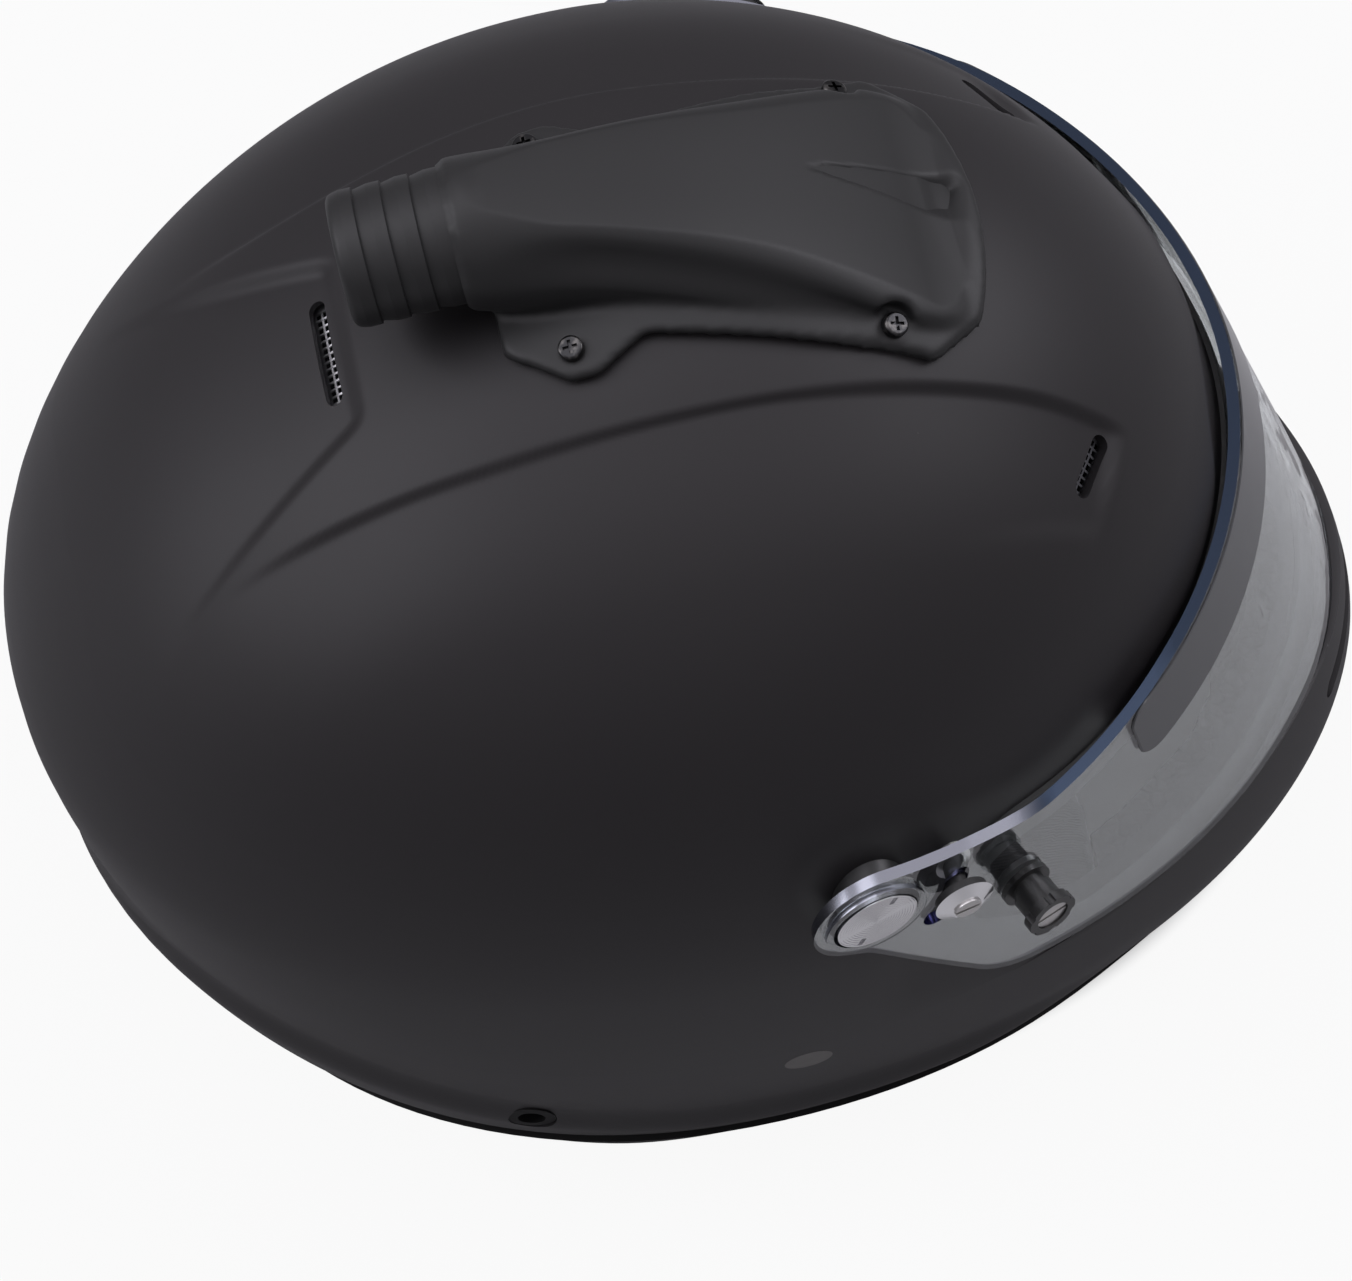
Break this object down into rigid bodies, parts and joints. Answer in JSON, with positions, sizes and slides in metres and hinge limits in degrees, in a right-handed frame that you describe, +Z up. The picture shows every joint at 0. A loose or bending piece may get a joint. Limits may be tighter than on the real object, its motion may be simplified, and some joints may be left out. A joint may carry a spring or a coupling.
{
  "type": "auto racing helmet",
  "caption": "Full-face auto racing helmet with a hinged clear visor, a top air inlet with a hose spigot, padded linings and a ring-closed chin strap.",
  "frame": {"origin": "under the middle of the helmet's bounding box, on the level of its lower edge", "axes": "-Y forward, the way the wearer looks, +X the wearer's left, +Z up"},
  "size_m": [0.272, 0.3475, 0.2942],
  "materials": {
    "shell_coat": "soft-touch matte black coat over a fibre laminate",
    "visor_screen": "clear polycarbonate with a hard coat and polished cut edges",
    "shade_film": "dark tinted film",
    "duct_plastic": "fine-grained moulded plastic",
    "black_rubber": "smooth",
    "bright_metal": "turned and polished",
    "screw_steel": "satin",
    "dark_screw": "blackened",
    "anchor_cap": "satin",
    "black_metal": "anodised black",
    "mesh_steel": "woven wire",
    "ring_steel": "polished",
    "liner_foam": "expanded foam beads",
    "lining_cloth": "brushed knit over soft foam",
    "webbing": "woven flat webbing"
  },
  "bodies": {
    "helmet": {"outer_shell": "shell_coat", "bottom_trim": "black_rubber", "eyeport_gasket": "black_rubber", "impact_liner": "liner_foam", "comfort_liner": "lining_cloth", "cheek_pad_left": "lining_cloth", "cheek_pad_right": "lining_cloth", "chin_bar_liner": "liner_foam", "neck_roll": "lining_cloth", "vent_mesh_rear": "mesh_steel", "vent_mesh_brow_left": "mesh_steel", "vent_mesh_brow_right": "mesh_steel", "vent_mesh_chin": "mesh_steel", "top_air_duct": "duct_plastic", "top_air_gasket": "black_rubber", "top_air_screws": "dark_screw", "top_air_inserts": "screw_steel", "pivot_base_left": "black_metal", "pivot_base_right": "black_metal", "pivot_disc_left": "bright_metal", "pivot_disc_right": "bright_metal", "pivot_nut_left": "screw_steel", "pivot_nut_right": "screw_steel", "tension_rubber_left": "black_rubber", "tension_rubber_right": "black_rubber", "tension_cup_left": "bright_metal", "tension_cup_right": "bright_metal", "tension_screw_left": "screw_steel", "tension_screw_right": "screw_steel", "tension_insert_left": "screw_steel", "tension_insert_right": "screw_steel", "restraint_anchor_left": "black_metal", "restraint_anchor_right": "black_metal", "anchor_cap_left": "anchor_cap", "anchor_cap_right": "anchor_cap", "strap_anchor_left": "screw_steel", "strap_anchor_right": "screw_steel", "chin_strap_short": "webbing", "chin_strap_long": "webbing"},
    "visor": {"visor": "visor_screen", "visor_shade_strip": "shade_film", "tear_off_post_left": "black_metal", "tear_off_post_right": "black_metal", "tear_off_screw_left": "screw_steel", "tear_off_screw_right": "screw_steel", "tear_off_nut_left": "screw_steel", "tear_off_nut_right": "screw_steel"},
    "strap_ring_inner": {"strap_ring_inner": "ring_steel"},
    "strap_ring_outer": {"strap_ring_outer": "ring_steel"}
  },
  "joints": [
    {"name": "visor_hinge", "type": "hinge", "parent": "helmet", "child": "visor", "pos_m": [0, -0.01825, 0.159], "axis": [-1, 0, 0], "range_deg": [0, 36]},
    {"name": "inner_ring_hinge", "type": "hinge", "parent": "helmet", "child": "strap_ring_inner", "pos_m": [0.044, -0.00215, 0.027], "axis": [0, 1, 0], "range_deg": [0, 60]},
    {"name": "outer_ring_hinge", "type": "hinge", "parent": "helmet", "child": "strap_ring_outer", "pos_m": [0.0486, -0.00215, 0.027], "axis": [0, -1, 0], "range_deg": [0, 60]}
  ]
}
